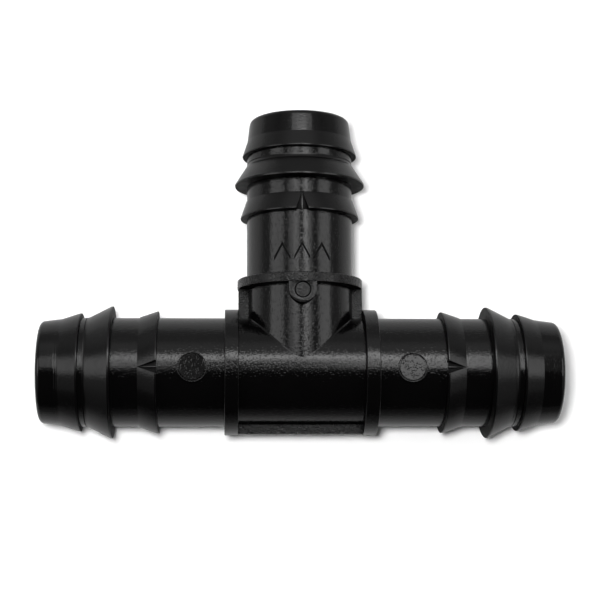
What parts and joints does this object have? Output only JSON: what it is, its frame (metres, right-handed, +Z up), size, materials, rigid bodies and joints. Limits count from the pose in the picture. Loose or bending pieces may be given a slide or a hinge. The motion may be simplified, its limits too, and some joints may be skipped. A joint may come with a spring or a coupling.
{
  "type": "barbed tee connector",
  "caption": "Equal barbed tee that joins irrigation hoses. Ringed barbs grip each hose and a collar stops it. Ribs stiffen the hub.",
  "frame": {"origin": "where the run's axis and the branch's axis cross, at the middle of the hub", "axes": "+X along the run to its right-hand tip, +Y along the branch to its tip, +Z up from the plane of the three legs with the fitting lying flat, on the side with the ejector marks"},
  "size_m": [0.082, 0.0514, 0.0208],
  "materials": {
    "black_plastic": "semi-gloss black polypropylene with a fine spark-eroded grain"
  },
  "bodies": {
    "root": {"bottom_spine": "black_plastic", "branch_chevron_mark": "black_plastic", "branch_ejector_boss": "black_plastic", "branch_left_web": "black_plastic", "branch_main_barb": "black_plastic", "branch_rear_barb": "black_plastic", "branch_right_web": "black_plastic", "branch_spigot_tube": "black_plastic", "branch_stop_flange": "black_plastic", "branch_tip_barb": "black_plastic", "hub_body": "black_plastic", "left_ejector_pad": "black_plastic", "left_main_barb": "black_plastic", "left_rear_barb": "black_plastic", "left_spigot_tube": "black_plastic", "left_stop_flange": "black_plastic", "left_tip_barb": "black_plastic", "right_ejector_pad": "black_plastic", "right_main_barb": "black_plastic", "right_rear_barb": "black_plastic", "right_spigot_tube": "black_plastic", "right_stop_flange": "black_plastic", "right_tip_barb": "black_plastic"}
  },
  "joints": []
}
